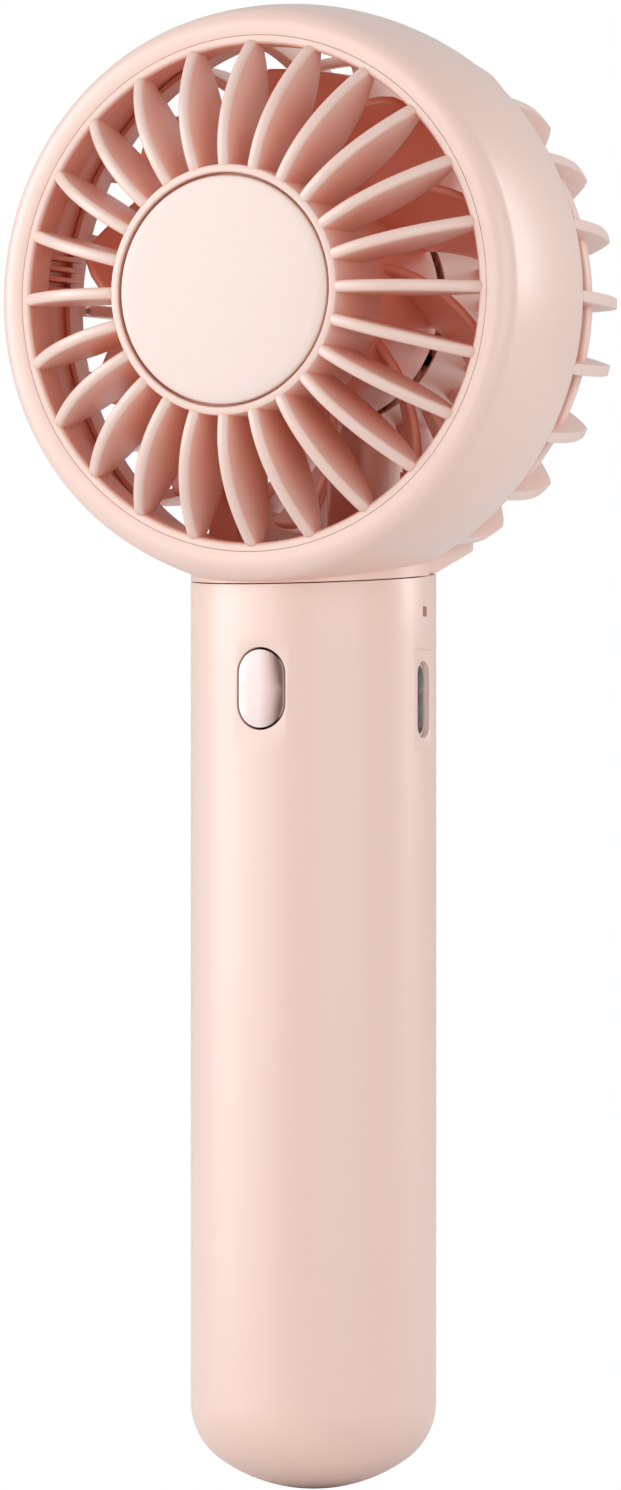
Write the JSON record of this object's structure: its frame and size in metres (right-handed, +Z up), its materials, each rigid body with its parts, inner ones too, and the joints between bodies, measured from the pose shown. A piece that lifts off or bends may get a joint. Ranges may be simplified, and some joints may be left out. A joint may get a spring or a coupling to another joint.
{
  "type": "handheld electric fan",
  "caption": "Round caged fan head on a straight cylindrical handle with a power button, a charge light and a USB-C port; the impeller spins on a motor in the hub.",
  "frame": {"origin": "on the handle's axis at the lowest point of its rounded end", "axes": "+Z up the handle, -Y out of the front grille the way the air is blown, +X towards the charging port"},
  "size_m": [0.0714, 0.0514, 0.1807],
  "materials": {
    "shell": "fine satin, moulded in one colour",
    "cage": "fine satin, same plastic as the shell",
    "cap": "fine satin, slightly smoother than the grille",
    "blades": "fine satin",
    "button": "glossy, slightly pearly",
    "light": "clear tinted, smooth",
    "port_metal": "drawn and nickel plated",
    "port_plastic": "plain moulded",
    "board": "green solder mask",
    "chip": "moulded epoxy",
    "ferrite": "pressed and ground",
    "capacitor": "fired",
    "socket": "natural nylon",
    "led": "moulded, milky",
    "switch": "moulded with a stamped cover",
    "plunger": "plain moulded",
    "screw": "zinc plated",
    "zinc": "die cast and turned",
    "bronze": "sintered, oiled",
    "laminations": "stamped, edges showing",
    "copper": "enamelled wire, wound",
    "bell": "deep drawn and plated",
    "magnet": "bonded magnet, ground",
    "shaft": "ground and polished",
    "clip": "stamped spring steel",
    "cable": "soft extruded cover",
    "cell_cable": "soft extruded cover",
    "carrier": "moulded, light texture",
    "cell": "shrink sleeve over the can",
    "nickel": "rolled strip",
    "foam": "open foam"
  },
  "bodies": {
    "fan_body": {"handle_shell": "shell", "head_drum": "shell", "front_grille": "cage", "hub_cap": "cap", "rear_grille": "cage", "rear_hub_cap": "cap", "motor_base": "zinc", "motor_screws": "screw", "shaft_bushes": "bronze", "stator_core": "laminations", "stator_windings": "copper", "motor_pcb": "board", "motor_wires": "cable", "power_switch": "switch", "main_pcb": "board", "usb_shell": "port_metal", "usb_tongue": "port_plastic", "charge_led": "led", "light_pipe": "light", "charger_chip": "chip", "power_inductor": "ferrite", "smd_capacitors": "capacitor", "wire_sockets": "socket", "pcb_screws": "screw", "chassis": "carrier", "chassis_screws": "screw", "battery_cell": "cell", "cell_tabs": "nickel", "battery_wires": "cell_cable", "end_foam": "foam"},
    "impeller": {"impeller": "blades", "rotor_bell": "bell", "rotor_magnet": "magnet", "motor_shaft": "shaft", "shaft_clip": "clip"},
    "button": {"button_cap": "button", "switch_plunger": "plunger"}
  },
  "joints": [
    {"name": "impeller_spin", "type": "hinge", "parent": "fan_body", "child": "impeller", "pos_m": [0, 0, 0.145], "axis": [0, 1, 0], "continuous": true},
    {"name": "button_press", "type": "slide", "parent": "fan_body", "child": "button", "axis": [0, 1, 0], "range_m": [0, 0.0004], "stiffness_N_per_m": 4000}
  ]
}
